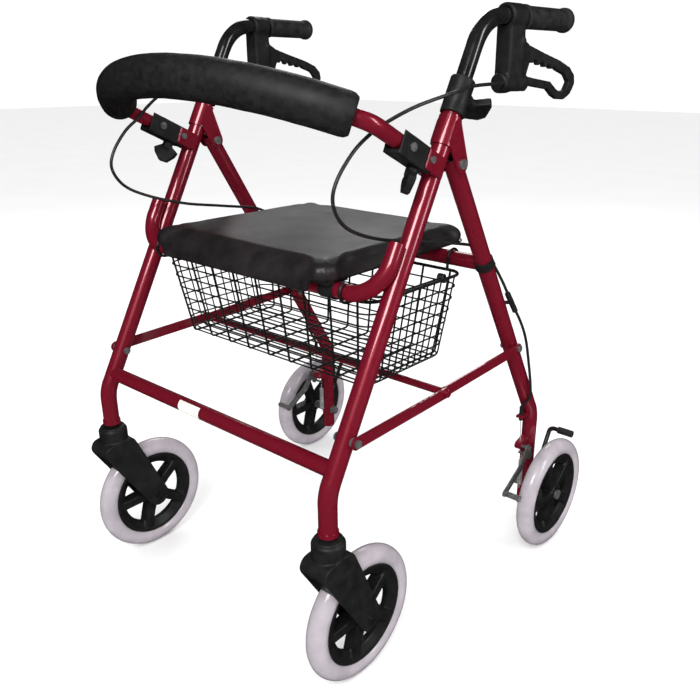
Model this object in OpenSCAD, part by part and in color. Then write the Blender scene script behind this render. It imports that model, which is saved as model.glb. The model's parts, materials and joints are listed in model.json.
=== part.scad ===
// Folding four-wheel rollator walker with a seat, a wire basket, a padded backrest and loop brakes.
// Millimetres. +Z is up, +X is the user's left, +Y is the rear, where the user walks.
// The origin is on the floor, midway between the side frames and midway between the wheel ends.
// The front casters, seat hinge and backrest are at -Y. The grips and the braked wheels are at +Y.

/* [Frame] */
// Distance between the centres of the left and right legs
frame_w = 500; // [490:1:510]
// Outer diameter of the leg tubes
leg_d = 25.4; // [25:0.1:25.6]
// Wall thickness of the tubes
wall = 1.5; // [1.2:0.1:1.5]
// Outer diameter of the cross tubes and of the seat tube
cross_d = 22.2; // [21:0.1:22.4]
// Angle of the upper front legs from upright
front_lean = 28.5; // [28.3:0.1:28.7]

/* [Wheels] */
// Outer diameter of all four wheels
wheel_d = 200; // [196:1:201]
// Radius of the round tyre section
tyre_r = 15; // [13:0.5:15.2]
// Number of spokes in a hub
spokes = 5; // [3:1:8]

/* [Handles] */
// Outer diameter of the sliding handle tubes
handle_d = 22.2; // [21.8:0.1:22.2]
// Angle by which each grip points outward
splay = 4.5; // [3.5:0.5:5]
// Length of a grip
grip_l = 110; // [100:1:114]

/* [Seat and basket] */
// Thickness of the seat pad
pad_h = 26; // [20:1:30]
// Depth of the basket
basket_h = 134; // [110:1:136]

/* [Backrest] */
// Angle at which the backrest hoop rises forward
hoop_tilt = 26; // [24:1:27]
// Diameter of the foam
foam_d = 53; // [46:1:54]

/* [Hidden] */
$fn = 48;

red = [0.55, 0.08, 0.18];
black = [0.09, 0.09, 0.10];
grey = [0.78, 0.75, 0.78];
steel = [0.75, 0.76, 0.78];

fit = 0.1;           // radial clearance of a pin, shaft or slide
lap = 0.3;           // how far a straight reaches into the bend next to it
swell = 0.4;         // how much fatter a bend is than its straights, as a pressed bend is
gap = 0.4;           // clearance between curved faces that only pass each other
side_x = frame_w / 2;
leg_r = leg_d / 2;
cross_r = cross_d / 2;

// Front leg, in its side plane: an upright stem, one bend and a straight that leans to the rear.
stem_y = -291;
stem_z = 258;
stem_bend_z = 316;
leg_top_z = 772;
leg_bend_r = 60;

// Rear leg: from the fold hinge down to a bend, then upright past the axle.
hinge = [-42, 701];
rear_bend = [232, 245];
rear_foot_z = 60;
rear_lean = atan((rear_bend[0] - hinge[0]) / (hinge[1] - rear_bend[1]));

wheel_r = wheel_d / 2;
front_wheel = [-232, 100];
rear_wheel = [232, 100];
rear_wheel_x = side_x + 50;
boss_half = 13.5;
axle_d = 10;
rim_r = wheel_r - 25;
tyre_ring_r = wheel_r - tyre_r;

// Fold links: front pivot on the front leg, rear pivot on the rear leg, middle pivot between them.
link_front = [-256, 380];
link_mid = [-64, 385];
link_rear = [143, 393];
link_h = 17;
link_t = 3;
inner_link_x = side_x + 13.2;
outer_link_x = side_x + 16.6;
rod_d = 11;

seat_hinge = [-191.9, 548];
seat_stub_z = 612.7;
seat_bend_r = 50;
stub_offset = leg_r + cross_r - 0.4;
rear_tube = [49.2, 549];
cross_z = 343;

seat_z = 560.5;
seat_front_y = -227;
seat_rear_y = 121;
seat_half_front = 190;
seat_half_rear = 179;
seat_corner_r = 30;
board_t = 5;
roll_drop = 17;       // how far the front roll of the pad hangs below the board
roll_t = 7.5;

rim_z = 534;
basket_wall = 2.4;
wire_d = 4.4;
hook_r = cross_r + gap + wire_d / 2;

corner_y = 17;
corner_z = 883;
handle_bend_r = 70;
handle_foot_z = 596;
housing_y = [43, 78];
lever_pivot = [74, -31];
lever_t = 9.6;

rest_pivot = [-145, 730];
hoop_d = 20.6;
hoop_r = 340;
hoop_half_angle = 44.8;
hoop_corner_r = 36;
hoop_arm = 53;

arm_pivot = [200, 190];
shoe = [129, 131];
arm_x = side_x + 16;

cable_d = 4.6;
cable_sides = 8;

// Brake cable, left side: from the lever housing round in front of the seat to the rear leg.
upper_route = [
    [263, 51, 799], [270, -30, 797], [271, -75, 790], [257, -130, 776], [242, -168, 759],
    [233, -190, 745], [231, -218, 726], [229, -243, 697], [228, -249, 672], [226, -232, 646],
    [220, -195, 627], [212, -135, 609], [214, -65, 596], [224, 0, 584], [232, 30, 578]
];
// From there down the rear leg to the adjuster in front of the wheel.
lower_route = [
    [232, 34, 577], [233, 58, 566], [246, 76, 546], [257, 92, 515], [264, 112, 478],
    [267, 140, 440], [268, 160, 405], [268, 176, 360], [268, 189, 315], [265, 196, 289],
    [256, 198, 274], [250, 198, 266]
];

// ---------- helpers ----------

function unit(v) = v / norm(v);
function front_y(z) = stem_y + (z - stem_bend_z) * tan(front_lean);
function rear_y(z) = hinge[0] + (hinge[1] - z) * tan(rear_lean);
function front_point(z) = [side_x, front_y(z), z];
function rear_point(z) = [side_x, rear_y(z), z];
function at_side(p, x = side_x) = [x, p[0], p[1]];

// Lets a path run on past both its ends, so that a bore cut along it is open.
function lengthen(path, extra) =
    let (n = len(path) - 1)
    [for (i = [0:n])
        i == 0 ? path[0] - extra * unit(path[1] - path[0]) :
        i == n ? path[n] + extra * unit(path[n] - path[n - 1]) : path[i]];

module along(from, to) {
    run = to - from;
    translate(from) rotate([0, acos(run[2] / norm(run)), atan2(run[1], run[0])]) children();
}

module rod(from, to, d) {
    along(from, to) cylinder(h = norm(to - from), d = d);
}

// One round bend of a bar at a corner, between the directions in and out.
module bend(corner, in, out, r, d) {
    turn = acos(in * out);
    inward = unit(out - in * cos(turn));
    axis = cross(in, inward);
    centre = corner - in * r * tan(turn / 2) + inward * r;
    multmatrix([
        [-inward[0], in[0], axis[0], centre[0]],
        [-inward[1], in[1], axis[1], centre[1]],
        [-inward[2], in[2], axis[2], centre[2]],
        [0, 0, 0, 1]
    ])
        rotate_extrude(angle = turn) translate([r, 0]) circle(d = d);
}

// A round bar along a path, with every inner corner bent to radius r.
module bent_bar(path, r, d) {
    last = len(path) - 1;
    runs = [for (i = [0:last - 1]) unit(path[i + 1] - path[i])];
    trims = [for (i = [0:last]) i == 0 || i == last ? 0 : r * tan(acos(runs[i - 1] * runs[i]) / 2)];
    for (i = [0:last - 1])
        rod(path[i] + runs[i] * max(trims[i] - lap, 0),
            path[i + 1] - runs[i] * max(trims[i + 1] - lap, 0), d);
    for (i = [1:last - 1])
        bend(path[i], runs[i - 1], runs[i], r, d + swell);
}

module bent_tube(path, r, d) {
    difference() {
        bent_bar(path, r, d);
        bent_bar(lengthen(path, 1), r, d - 2 * wall);
    }
}

// Every module below draws the left side; the right side is its mirror image.
module on_side(side) {
    if (side > 0) children();
    else mirror([1, 0, 0]) children();
}

module both_sides() {
    on_side(1) children();
    on_side(-1) children();
}

// A cylinder across the walker, from x1 to x2, at a side-view point.
module pin(p, x1, x2, d) {
    translate([x1, p[0], p[1]]) rotate([0, 90, 0]) cylinder(h = x2 - x1, d = d);
}

// A plate drawn in side view (Y across, Z up) that fills x1 to x2.
module side_plate(x1, x2) {
    translate([x1, 0, 0]) rotate([90, 0, 90]) linear_extrude(x2 - x1) children();
}

// A flat strip along points, with round ends and corners.
module stroke(points, w) {
    for (i = [0:len(points) - 2]) {
        run = points[i + 1] - points[i];
        translate(points[i]) rotate(atan2(run[1], run[0]))
            translate([0, -w / 2 + lap]) square([norm(run), w - 2 * lap]);
    }
    for (p = points) translate(p) circle(d = w);
}

module bolt(p, x1, x2, d, head_d, head_t) {
    pin(p, x1, x2, d);
    pin(p, x1 - head_t, x1, head_d);
    pin(p, x2, x2 + head_t, head_d);
}

module rounded_outline(front, rear, half_front, half_rear, r) {
    hull()
        for (s = [-1, 1]) {
            translate([s * (half_front - r), front + r]) circle(r = r, $fn = 32);
            translate([s * (half_rear - r), rear - r]) circle(r = r, $fn = 32);
        }
}

// ---------- front frame ----------

front_leg_path = [[side_x, stem_y, stem_z], [side_x, stem_y, stem_bend_z], front_point(leg_top_z)];

module front_leg(side) {
    color(red) on_side(side)
        difference() {
            union() {
                bent_bar(front_leg_path, leg_bend_r, leg_d);
                translate([side_x, stem_y, stem_z]) cylinder(h = 6, d = leg_d + 3);
            }
            bent_bar(lengthen(front_leg_path, 1), leg_bend_r, handle_d + 2 * fit);
            pin(link_front, side_x - 20, side_x + 20, 6);
        }
}

module front_leg_cutter() {
    both_sides() rod(front_point(stem_bend_z + 10), front_point(leg_top_z), leg_d);
}

module front_cross_tube() {
    level = [front_y(cross_z), cross_z];
    color(red)
        difference() {
            pin(level, -side_x, side_x, cross_d);
            pin(level, -side_x, side_x, cross_d - 2 * wall);
            front_leg_cutter();
        }
}

module seat_tube() {
    top_y = seat_hinge[0] + (seat_stub_z - seat_hinge[1]) * tan(front_lean);
    path = [
        [side_x, top_y, seat_stub_z], at_side(seat_hinge),
        at_side(seat_hinge, -side_x), [-side_x, top_y, seat_stub_z]
    ];
    color(red)
        difference() {
            bent_tube(path, seat_bend_r, cross_d);
            front_leg_cutter();
        }
}

// Sleeve on the leg with two cheeks that hold the top of the rear leg.
module hinge_brackets() {
    color(red) both_sides()
        difference() {
            union() {
                rod(front_point(724), front_point(758), 30.5);
                side_plate(side_x - 15.5, side_x + 15.5)
                    hull() {
                        translate(hinge) circle(r = 12, $fn = 32);
                        translate([front_y(730), 730]) circle(r = 6, $fn = 32);
                        translate([front_y(752), 752]) circle(r = 6, $fn = 32);
                    }
            }
            rod(front_point(700), front_point(770), leg_d);
            difference() {
                translate([side_x - 13, -80, 640]) cube([26, 80, 120]);
                rod(front_point(724), front_point(758), 30.5);
            }
            pin(hinge, side_x - 20, side_x + 20, 8);
        }
}

module front_fasteners() {
    color(steel) both_sides() {
        bolt(hinge, side_x - 15.5, side_x + 15.5, 8, 13, 3);
        bolt(rest_bolt, side_x - 15.5, side_x + 15.5, 5, 9, 2.5);
        bolt(rest_pivot, side_x - 13, side_x + 13, 6, 11, 2);
        difference() {
            bolt(link_front, side_x - leg_r - 0.5, outer_link_x + link_t + gap, 6, 11, 3);
            pin(link_front, side_x - leg_r - 0.5, side_x - leg_r, 20);
        }
        difference() {
            pin(link_front, side_x + leg_r - 1, outer_link_x - 0.3, 13);
            pin(link_front, side_x, side_x + 20, 6);
            front_leg_cutter();
        }
    }
}

// Plastic collar that clamps the handle tube at the top of the leg.
module handle_clamps() {
    color(black) both_sides()
        difference() {
            union() {
                rod(front_point(762), front_point(804), 33);
                clamp_frame() cylinder(h = 24, d = 18);
            }
            rod(front_point(750), front_point(leg_top_z), leg_d);
            rod(front_point(750), front_point(820), handle_d + 2 * fit);
            clamp_frame() cylinder(h = 40, d = 6 + 2 * fit);
        }
}

// Axis of the clamp knob: from the tube's centre out to the rear.
module clamp_frame() {
    translate(front_point(788)) rotate([-90 - front_lean, 0, 0]) children();
}

// Frame of the backrest hinge: -Y runs up along the hoop's arm, +Z square to it.
module rest_frame() {
    translate([side_x, rest_pivot[0], rest_pivot[1]]) rotate([-hoop_tilt, 0, 0]) children();
}

rest_bolt = rest_pivot + 40 * [cos(hoop_tilt), -sin(hoop_tilt)];

module backrest_brackets() {
    color(red) both_sides()
        difference() {
            rest_frame() translate([-15.5, 31, -15]) cube([31, 40, 27]);
            rest_frame() translate([-13, 20, -20]) cube([26, 28, 40]);
            rod(front_point(660), front_point(740), leg_d);
            rod(front_point(724), front_point(760), 31);
            pin(rest_bolt, side_x - 20, side_x + 20, 5);
        }
}

module backrest_sockets() {
    color(black) both_sides()
        difference() {
            rest_frame() translate([-13, -22, -17]) cube([26, 69, 30]);
            rest_frame() translate([-10.8, -30, -10.8]) cube([21.6, 30, 40]);
            rest_frame() translate([-10.8, -1, 0]) cube([21.6, 11.8, 40]);
            rest_frame() rotate([0, 90, 0]) cylinder(h = 21.6, r = 13.6, center = true);
            rest_frame() translate([0, 26, -30]) cylinder(h = 34, d = 6 + 2 * fit);
            pin(rest_pivot, side_x - 20, side_x + 20, 6);
            pin(rest_bolt, side_x - 20, side_x + 20, 5);
        }
}

module caster_bushes() {
    color(black) both_sides()
        translate([side_x, stem_y, stem_z + 2])
            difference() {
                cylinder(h = 38, d = handle_d + 2 * fit);
                translate([0, 0, -1]) cylinder(h = 40, d = 12 + 2 * fit);
            }
}

// ---------- rear frame ----------

function beyond_hinge(extra) = [side_x, hinge[0] - extra * sin(rear_lean), hinge[1] + extra * cos(rear_lean)];
rear_leg_path = [beyond_hinge(10), at_side(rear_bend), [side_x, rear_bend[0], rear_foot_z]];

module rear_leg(side) {
    color(red) on_side(side)
        difference() {
            bent_tube(rear_leg_path, leg_bend_r, leg_d);
            pin(hinge, side_x - 20, side_x + 20, 8 + 2 * fit);
            pin(link_rear, side_x - 20, side_x + 20, 6);
            pin(rear_wheel, side_x - 20, side_x + 20, axle_d);
        }
}

module rear_leg_cutter() {
    both_sides() {
        rod(rear_point(650), rear_point(270), leg_d);
        rod(at_side(rear_bend), [side_x, rear_bend[0], rear_foot_z], leg_d);
    }
}

module rear_cross_tube() {
    color(red)
        difference() {
            pin(rear_tube, -side_x, side_x, cross_d);
            pin(rear_tube, -side_x, side_x, cross_d - 2 * wall);
            rear_leg_cutter();
        }
}

module rear_fasteners() {
    color(steel) both_sides() {
        // Axle bolt, its spacer and the nuts at both ends
        pin(rear_wheel, side_x - leg_r - 5, rear_wheel_x + boss_half + 0.5, axle_d);
        difference() {
            pin(rear_wheel, side_x - leg_r - 10, side_x - leg_r + 1, 16);
            rod(at_side(rear_bend), [side_x, rear_bend[0], rear_foot_z], leg_d);
        }
        pin(rear_wheel, rear_wheel_x + boss_half + 0.5, rear_wheel_x + boss_half + 5, 17);
        difference() {
            pin(rear_wheel, side_x + leg_r - 1, rear_wheel_x - boss_half - 0.5, 17);
            pin(rear_wheel, side_x, rear_wheel_x, axle_d);
            rod(at_side(rear_bend), [side_x, rear_bend[0], rear_foot_z], leg_d);
        }
        // Pivot bolt of the rear fold link
        pin(link_rear, side_x - leg_r - 2, inner_link_x + link_t + 0.3, 6);
        pin(link_rear, inner_link_x + link_t + 0.3, inner_link_x + link_t + 3.3, 11);
        difference() {
            pin(link_rear, side_x - leg_r - 3, side_x - leg_r + 1, 11);
            rear_leg_cutter();
        }
        // Pivot pin of the brake arm
        pin(arm_pivot, side_x - 6, arm_x + 3.3, 6);
        pin(arm_pivot, arm_x + 3.3, arm_x + 5.5, 10);
    }
}

kerb_path = [[258, 238, 118], [262, 262, 140], [262, 292, 194], [304, 292, 194]];

module kerb_levers() {
    color(black) both_sides()
        difference() {
            bent_bar(kerb_path, 8, 8);
            rear_leg_cutter();
        }
}

module kerb_tips() {
    color(black) both_sides()
        difference() {
            rod([278, 292, 194], [307, 292, 194], 13);
            rod([277, 292, 194], [304, 292, 194], 8);
        }
}

// Two tabs welded to the front of the leg: one stops the cable, one carries the brake arm.
module brake_brackets() {
    color(red) both_sides() {
        difference() {
            side_plate(side_x - 6, side_x + 6)
                hull() {
                    translate(arm_pivot) circle(r = 7, $fn = 32);
                    translate([rear_bend[0] - 10, arm_pivot[1]]) square([2, 26], center = true);
                }
            pin(arm_pivot, side_x - 20, side_x + 20, 6);
            rear_leg_cutter();
        }
        difference() {
            translate([side_x - 6, 191, 246]) cube([12, 36, 4]);
            translate([side_x, 198, 240]) cylinder(h = 20, d = 7);
            rear_leg_cutter();
            bent_bar(rear_leg_path, leg_bend_r, leg_d);
        }
    }
}

module brake_springs() {
    color(steel) both_sides() {
        translate([side_x, 211, 106]) cylinder(h = 50, d = 9);
        translate([side_x, 211, 98]) cylinder(h = 8, d = 1.6);
        translate([side_x, 211, 156]) cylinder(h = 8, d = 1.6);
    }
}

// Clip band with its ear, guide and screwed adjuster of each brake cable.
module cable_fittings() {
    color(black) both_sides() {
        difference() {
            union() {
                rod(rear_point(556), rear_point(544), leg_d + 4);
                rod([246, 76, 546] + [-1, -3, 5], [246, 76, 546] + [1, 3, -5], 9);
                side_plate(243, 249) translate([62, 545]) square([12, 8]);
            }
            rod(rear_point(580), rear_point(520), leg_d);
            pin(rear_tube, -side_x, side_x, cross_d);
            lower_cable();
        }
        difference() {
            union() {
                rod([261, 103, 494], [266, 122, 462], 9);
                rod([256, 104, 478], [263, 112, 478], 6);
            }
            lower_cable();
            rear_leg_cutter();
        }
        difference() {
            translate([side_x, 198, 240]) cylinder(h = 26, d = 7);
            lower_cable();
        }
    }
}

// ---------- casters and wheels ----------

fork_half = 24;
fork_slot_half = 17.5;

module caster_fork(side) {
    color(black) on_side(side)
        difference() {
            union() {
                side_plate(side_x - fork_half, side_x + fork_half)
                    hull() {
                        translate(front_wheel) circle(r = 20, $fn = 32);
                        translate([stem_y - 16, 212]) circle(r = 15, $fn = 32);
                        translate([stem_y + 14, 216]) circle(r = 14, $fn = 32);
                    }
                translate([side_x, stem_y, 215]) cylinder(h = 33, r = 23);
                translate([side_x, stem_y, 248]) cylinder(h = 5, r = 20);
            }
            pin(front_wheel, side_x - fork_slot_half, side_x + fork_slot_half, wheel_d + 10);
            translate([side_x - fork_slot_half, front_wheel[0] - 60, 0])
                cube([2 * fork_slot_half, 120, front_wheel[1]]);
            pin(front_wheel, side_x - 40, side_x + 40, 8);
            translate([side_x, stem_y, 180]) cylinder(h = 100, d = 12);
        }
}

module caster_bolts(side) {
    color(steel) on_side(side) {
        difference() {
            union() {
                translate([side_x, stem_y, 196]) cylinder(h = 98, d = 12);
                translate([side_x, stem_y, 253]) cylinder(h = 4.5, d = 18);
            }
            pin(front_wheel, side_x - fork_slot_half, side_x + fork_slot_half, wheel_d + 10);
        }
        bolt(front_wheel, side_x - fork_half, side_x + fork_half, 8, 14, 3);
        for (s = [-1, 1])
            difference() {
                pin(front_wheel, side_x + (s > 0 ? boss_half + 0.3 : -fork_slot_half),
                    side_x + (s > 0 ? fork_slot_half : -boss_half - 0.3), 14);
                pin(front_wheel, side_x - 20, side_x + 20, 8);
            }
    }
}

// A spoked plastic hub, drawn about its own axle.
module hub(x, centre, bore) {
    translate([x, centre[0], centre[1]]) rotate([0, 90, 0])
        difference() {
            union() {
                difference() {
                    cylinder(h = 24, r = rim_r, center = true);
                    cylinder(h = 30, r = rim_r - 8, center = true);
                }
                cylinder(h = 2 * boss_half, r = 17, center = true);
                for (i = [0:spokes - 1])
                    rotate(i * 360 / spokes) translate([10, -6, -8]) cube([rim_r - 14, 12, 16]);
            }
            cylinder(h = 40, d = bore, center = true);
        }
}

module tyre(x, centre) {
    translate([x, centre[0], centre[1]]) rotate([0, 90, 0])
        rotate_extrude($fn = 96)
            intersection() {
                translate([tyre_ring_r, 0]) circle(r = tyre_r);
                translate([rim_r, -20]) square([40, 40]);
            }
}

// ---------- handles and brakes ----------

grip_end = 193;
handle_corner = [side_x, corner_y, corner_z];
handle_path = [front_point(handle_foot_z), handle_corner,
    handle_corner + (grip_end - 4) * [sin(splay), cos(splay), 0]];

// Frame of a grip: +Y runs along it to the rear, starting at the bend of the handle tube.
module grip_frame() {
    translate(handle_corner) rotate([0, 0, -splay]) children();
}

module grip_ring(from, to, d) {
    translate([0, from, 0]) rotate([-90, 0, 0]) cylinder(h = to - from, d = d);
}

module handle_tube(side) {
    color(black) on_side(side) bent_tube(handle_path, handle_bend_r, handle_d);
}

module grip(side) {
    color(black) on_side(side) grip_frame()
        difference() {
            union() {
                grip_ring(grip_end - grip_l, grip_end, 30);
                grip_ring(grip_end - grip_l, grip_end - grip_l + 6, 34);
                grip_ring(grip_end - 8, grip_end, 34);
            }
            grip_ring(0, grip_end - 4, handle_d);
        }
}

module brake_housing(side) {
    color(black) on_side(side) grip_frame() {
        difference() {
            union() {
                grip_ring(housing_y[0], housing_y[1], 34);
                translate([-12.5, housing_y[0], -84])
                    cube([25, housing_y[1] - housing_y[0], 84]);
                translate([0, 0, -84]) grip_ring(36, 92, 27);
            }
            grip_ring(0, 100, handle_d);
            translate([-lever_t / 2 - 0.5, 56, -110]) cube([lever_t + 1, 60, 90]);
            side_bore(lever_pivot, 5);
        }
        side_bore(lever_pivot, 5);
        for (x = [-15, 12.5]) translate([x, 0, 0]) side_head(lever_pivot, 9, 2.5);
    }
}

module side_bore(p, d) {
    translate([-12.5, p[0], p[1]]) rotate([0, 90, 0]) cylinder(h = 25, d = d);
}

module side_head(p, d, h) {
    translate([0, p[0], p[1]]) rotate([0, 90, 0]) cylinder(h = h, d = d);
}

lever_outer = [[64, -29], [74, -21], [102, -35], [138, -44], [182, -54], [210, -63], [224, -74], [227, -86],
    [217, -101], [200, -109], [183, -108], [170, -103], [157, -94], [112, -89], [84, -86], [66, -44]];
lever_inner = [[104, -57], [140, -63], [178, -68], [200, -74], [211, -84], [203, -95], [190, -98],
    [176, -93], [160, -83], [117, -78], [96, -75]];

// Loop lever with finger rests along its upper bar.
module brake_lever(side) {
    color(black) on_side(side) grip_frame()
        difference() {
            side_plate(-lever_t / 2, lever_t / 2)
                difference() {
                    polygon(lever_outer);
                    polygon(lever_inner);
                    for (i = [0:3]) translate([118 + 17 * i, -61 - 3 * i]) circle(r = 7);
                }
            translate([-20, 0, 0]) side_head(lever_pivot, 5 + 2 * fit, 40);
        }
}

// Arm that swings the brake shoe against the front of the rear tyre.
module brake_arm(side) {
    color(steel) on_side(side) {
        difference() {
            side_plate(arm_x, arm_x + 3)
                stroke([[208, 172], arm_pivot, [178, 160], shoe], 13);
            pin(arm_pivot, arm_x - 1, arm_x + 4, 6 + 2 * fit);
        }
        pin([208, 172], side_x - 4, arm_x, 5);
        pin(shoe, arm_x + 3, rear_wheel_x - 3, 10);
    }
}

// Wing knob with its screw. Z runs out of the clamp and the screw ends at z = tip.
module wing_knob(seat, tip, reach, width) {
    translate([0, 0, tip]) cylinder(h = seat - tip + 2, d = 6);
    translate([0, 0, seat + 0.3]) cylinder(h = 12, d = 16);
    translate([0, 5, seat + 6]) rotate([90, 0, 0])
        linear_extrude(10)
            polygon([
                [-7, 0], [-width, 8], [-width + 3, 16], [-6, reach],
                [6, reach], [width - 3, 16], [width, 8], [7, 0]
            ]);
}

module handle_knob(side) {
    color(black) on_side(side) clamp_frame() rotate(-20) wing_knob(24, 12, 34, 27);
}

module backrest_knob(side) {
    color(black) on_side(side) rest_frame() translate([0, 26, 0]) rotate([180, 0, 0]) rotate(40)
        wing_knob(17, 2, 27, 19);
}

// ---------- backrest ----------

hoop_turn = 90 - hoop_half_angle;
hoop_front = hoop_arm + hoop_corner_r * sin(hoop_turn) + hoop_r * (1 - cos(hoop_half_angle));

module ring_section(d, bore) {
    difference() {
        circle(d = d);
        circle(d = bore);
    }
}

module hoop_arc(d, bore, half_angle) {
    translate([0, hoop_r - hoop_front, 0])
        rotate(270 - half_angle) rotate_extrude(angle = 2 * half_angle, $fn = 96)
            translate([hoop_r, 0]) ring_section(d, bore);
}

module hoop_frame() {
    translate([0, rest_pivot[0], rest_pivot[1]]) rotate([-hoop_tilt, 0, 0]) children();
}

module backrest_tube() {
    color(red)
        difference() {
            hoop_frame() {
                both_sides() {
                    translate([side_x, 8, 0]) rotate([90, 0, 0])
                        linear_extrude(8 + hoop_arm + lap) ring_section(hoop_d, hoop_d - 2 * wall);
                    translate([side_x - hoop_corner_r, -hoop_arm, 0]) rotate(-hoop_turn)
                        rotate_extrude(angle = hoop_turn)
                            translate([hoop_corner_r, 0])
                                ring_section(hoop_d + swell, hoop_d - 2 * wall - swell);
                }
                hoop_arc(hoop_d, hoop_d - 2 * wall, hoop_half_angle + 0.05);
            }
            both_sides() pin(rest_pivot, side_x - 20, side_x + 20, 6 + 2 * fit);
        }
}

module backrest_foam() {
    color(black) hoop_frame() hoop_arc(foam_d, hoop_d, hoop_half_angle - 1);
}

// ---------- fold links ----------

// Flat bar with round ends between two pivots.
module link(from, to, x) {
    side_plate(x, x + link_t)
        difference() {
            stroke([from, to], link_h);
            for (p = [from, to]) translate(p) circle(d = 6 + 2 * fit);
        }
}

module front_link(side) {
    color(red) on_side(side) {
        link(link_front, link_mid, outer_link_x);
        translate([outer_link_x + link_t, link_mid[0], link_mid[1]])
            rotate([0, 90, 0]) cylinder(h = 4, d = 12);
    }
}

module rear_links() {
    color(red) both_sides() link(link_mid, link_rear, inner_link_x);
}

module cross_rod() {
    color(red) pin(link_mid, -inner_link_x, inner_link_x, rod_d);
}

// ---------- basket ----------

basket_top = [-177, 34];
basket_bottom = [-156, 24];
basket_half_top = 225;
basket_half_bottom = 198;
basket_corner_r = 26;

// Rounded rectangle made of plain squares and circles
module basket_outline(grow) {
    half = basket_half_top + grow;
    r = basket_corner_r + grow;
    front = basket_top[0] - grow;
    depth = basket_top[1] - basket_top[0] + 2 * grow;
    translate([-half, front + r]) square([2 * half, depth - 2 * r]);
    translate([-half + r, front]) square([2 * (half - r), depth]);
    for (x = [-half + r, half - r], y = [front + r, front + depth - r]) translate([x, y]) circle(r = r);
}

// Tapered tub, shrunk by inset on every side except the open top.
module tub(inset) {
    r = basket_corner_r;
    hull()
        for (s = [-1, 1]) {
            for (y = [basket_top[0] + r, basket_top[1] - r])
                translate([s * (basket_half_top - r), y, rim_z - 2])
                    cylinder(h = inset > 0 ? 4 : 2, r = r - inset, $fn = 24);
            for (y = [basket_bottom[0] + r, basket_bottom[1] - r])
                translate([s * (basket_half_bottom - r), y, rim_z - basket_h + inset])
                    cylinder(h = 1, r = r - inset, $fn = 24);
        }
}

module basket() {
    color(black) {
        difference() {
            union() {
                tub(0);
                translate([0, 0, rim_z - 2.5]) linear_extrude(6) basket_outline(2);
            }
            tub(basket_wall);
            translate([0, 0, rim_z - 2]) linear_extrude(10) basket_outline(-3);
        }
        both_sides() {
            rear_hook(194);
            front_hook(196);
            pin([bail_y, rim_z], 213, 223, wire_d);
        }
    }
}

// Wire hook that hangs on the rear cross tube; the basket swings about this tube.
module rear_hook(x) {
    translate([x, rear_tube[0], rear_tube[1]]) rotate([0, 90, 0]) rotate(90)
        rotate_extrude(angle = 180) translate([hook_r, 0]) circle(d = wire_d);
    rod([x, rear_tube[0] - hook_r, rear_tube[1] + 2 * lap], [x, rear_tube[0] - hook_r, rim_z + 2], wire_d + swell);
}

// Hook that grips the seat tube from the front and leaves it open to the rear.
module front_hook(x) {
    translate([x, seat_hinge[0], seat_hinge[1]]) rotate([90, 0, 90]) rotate(110)
        rotate_extrude(angle = 160) translate([hook_r, 0]) circle(d = wire_d);
    rod([x, seat_hinge[0] - 2 * lap, seat_hinge[1] - hook_r],
        [x, basket_top[0] + 1, seat_hinge[1] - hook_r], wire_d + swell);
}

bail_y = -12;
bail_x = 218;
bail_front = -148;

module basket_handle() {
    color(black) {
        both_sides()
            difference() {
                pin([bail_y, rim_z], bail_x - 2.2, bail_x + 2.2, 10);
                pin([bail_y, rim_z], bail_x - 10, bail_x + 10, wire_d + 2 * fit);
            }
        bent_bar([
            [bail_x, bail_y - 4, rim_z], [bail_x, bail_front, rim_z],
            [-bail_x, bail_front, rim_z], [-bail_x, bail_y - 4, rim_z]
        ], 20, wire_d);
    }
}

// ---------- seat ----------

module seat_outline(inset) {
    rounded_outline(seat_front_y + inset, seat_rear_y - inset,
        seat_half_front - inset, seat_half_rear - inset, seat_corner_r - inset / 2);
}

// The pad wraps the board and hangs down as a roll in front of the seat tube.
module seat_pad() {
    color(black) {
        translate([0, 0, seat_z])
            difference() {
                linear_extrude(pad_h) seat_outline(0);
                translate([0, 0, -1]) linear_extrude(1 + board_t) seat_outline(8);
            }
        translate([-seat_half_front + seat_corner_r, seat_front_y, seat_z - roll_drop])
            cube([2 * (seat_half_front - seat_corner_r), roll_t, roll_drop + 2]);
    }
}

module seat_board() {
    color(black) translate([0, 0, seat_z]) linear_extrude(board_t) seat_outline(8);
}

// Saddles under the board that turn on the seat tube.
module seat_clips() {
    color(black)
        for (x = [-168, -80, 168])
            difference() {
                union() {
                    pin(seat_hinge, x - 12, x + 12, cross_d + 4);
                    translate([x - 12, seat_hinge[0] - 20, seat_z - 3]) cube([24, 40, 3]);
                }
                pin(seat_hinge, x - 13, x + 13, cross_d + 2 * fit);
                translate([x - 20, seat_hinge[0] - 30, seat_z]) cube([40, 60, 20]);
            }
}

// ---------- brake cables ----------

// Smooth curve through the route: the stretch from point i, at t from 0 to 1.
function route_point(p, i, t) =
    let (a = p[max(i - 1, 0)], b = p[i], c = p[i + 1], d = p[min(i + 2, len(p) - 1)])
    0.5 * (2 * b + (c - a) * t + (2 * a - 5 * b + 4 * c - d) * t * t + (3 * b - a - 3 * c + d) * t * t * t);

function route_curve(p, steps) = concat(
    [for (i = [0:len(p) - 2]) for (k = [0:steps - 1]) route_point(p, i, k / steps)], [p[len(p) - 1]]);

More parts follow.
